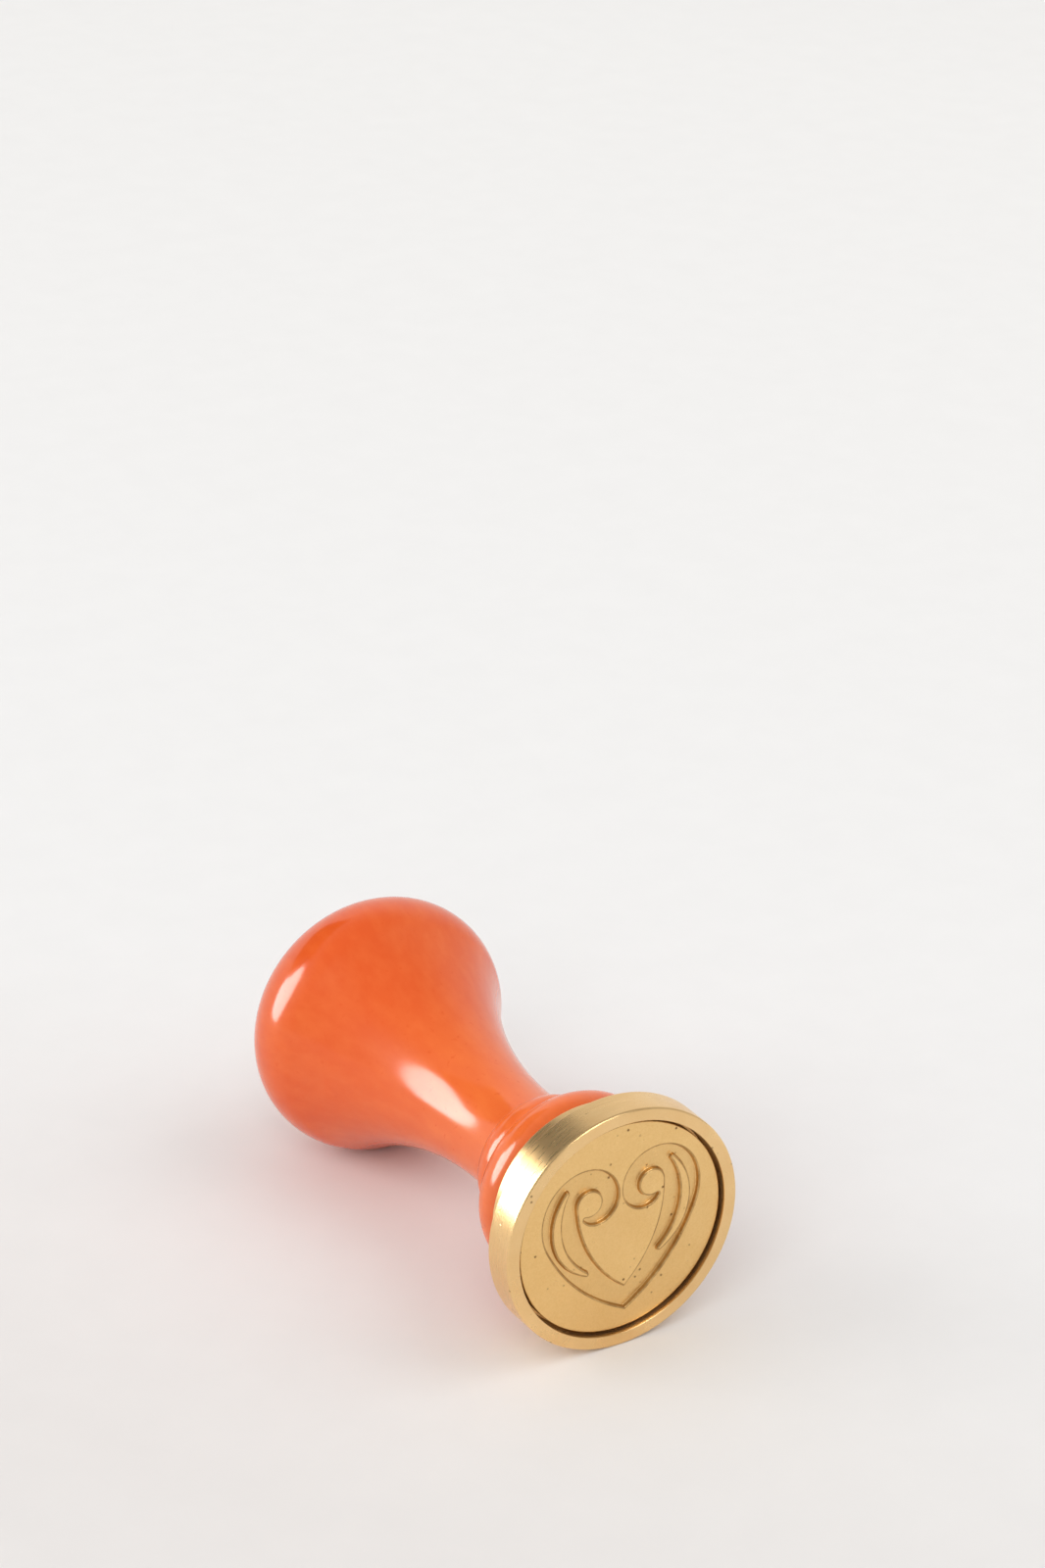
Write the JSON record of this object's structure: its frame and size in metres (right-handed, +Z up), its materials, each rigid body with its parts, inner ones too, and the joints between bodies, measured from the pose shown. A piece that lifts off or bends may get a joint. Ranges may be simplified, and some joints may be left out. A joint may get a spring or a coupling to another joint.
{
  "type": "wax seal stamp",
  "caption": "Wax seal stamp lying on its side: a turned lacquered handle with a rounded bulb, and a screw-on brass head that holds an engraved disc.",
  "frame": {"origin": "on the surface that the stamp lies on, under the middle of its bounding box", "axes": "+Z up; +X along the stamp's axis towards the seal face, which leans about one degree down because the bulb is larger than the head; +Y to the right for someone facing the seal"},
  "size_m": [0.0532, 0.0266, 0.0266],
  "materials": {
    "lacquered_wood": "thick glossy orange lacquer",
    "insert_brass": "bright turned brass",
    "plated_steel": "zinc plate",
    "cup_brass": "satin turned brass",
    "disc_brass": "satin engraved brass with fine pits"
  },
  "bodies": {
    "handle": {"handle": "lacquered_wood", "threaded_insert": "insert_brass"},
    "stud": {"threaded_stud": "plated_steel"},
    "head": {"head_cup": "cup_brass", "seal_disc": "disc_brass"}
  },
  "joints": [
    {"name": "head_travel", "type": "slide", "parent": "handle", "child": "stud", "axis": [0.9998, 0, -0.0177], "range_m": [0, 0.0064]},
    {"name": "head_turn", "type": "hinge", "parent": "stud", "child": "head", "pos_m": [0.02639, 0, 0.0125], "axis": [0.9998, 0, -0.0177], "range_deg": [0, 2880]}
  ],
  "couplings": [
    {"joint": "head_travel", "follows": "head_turn", "m_per_rad": 0.00012732}
  ]
}
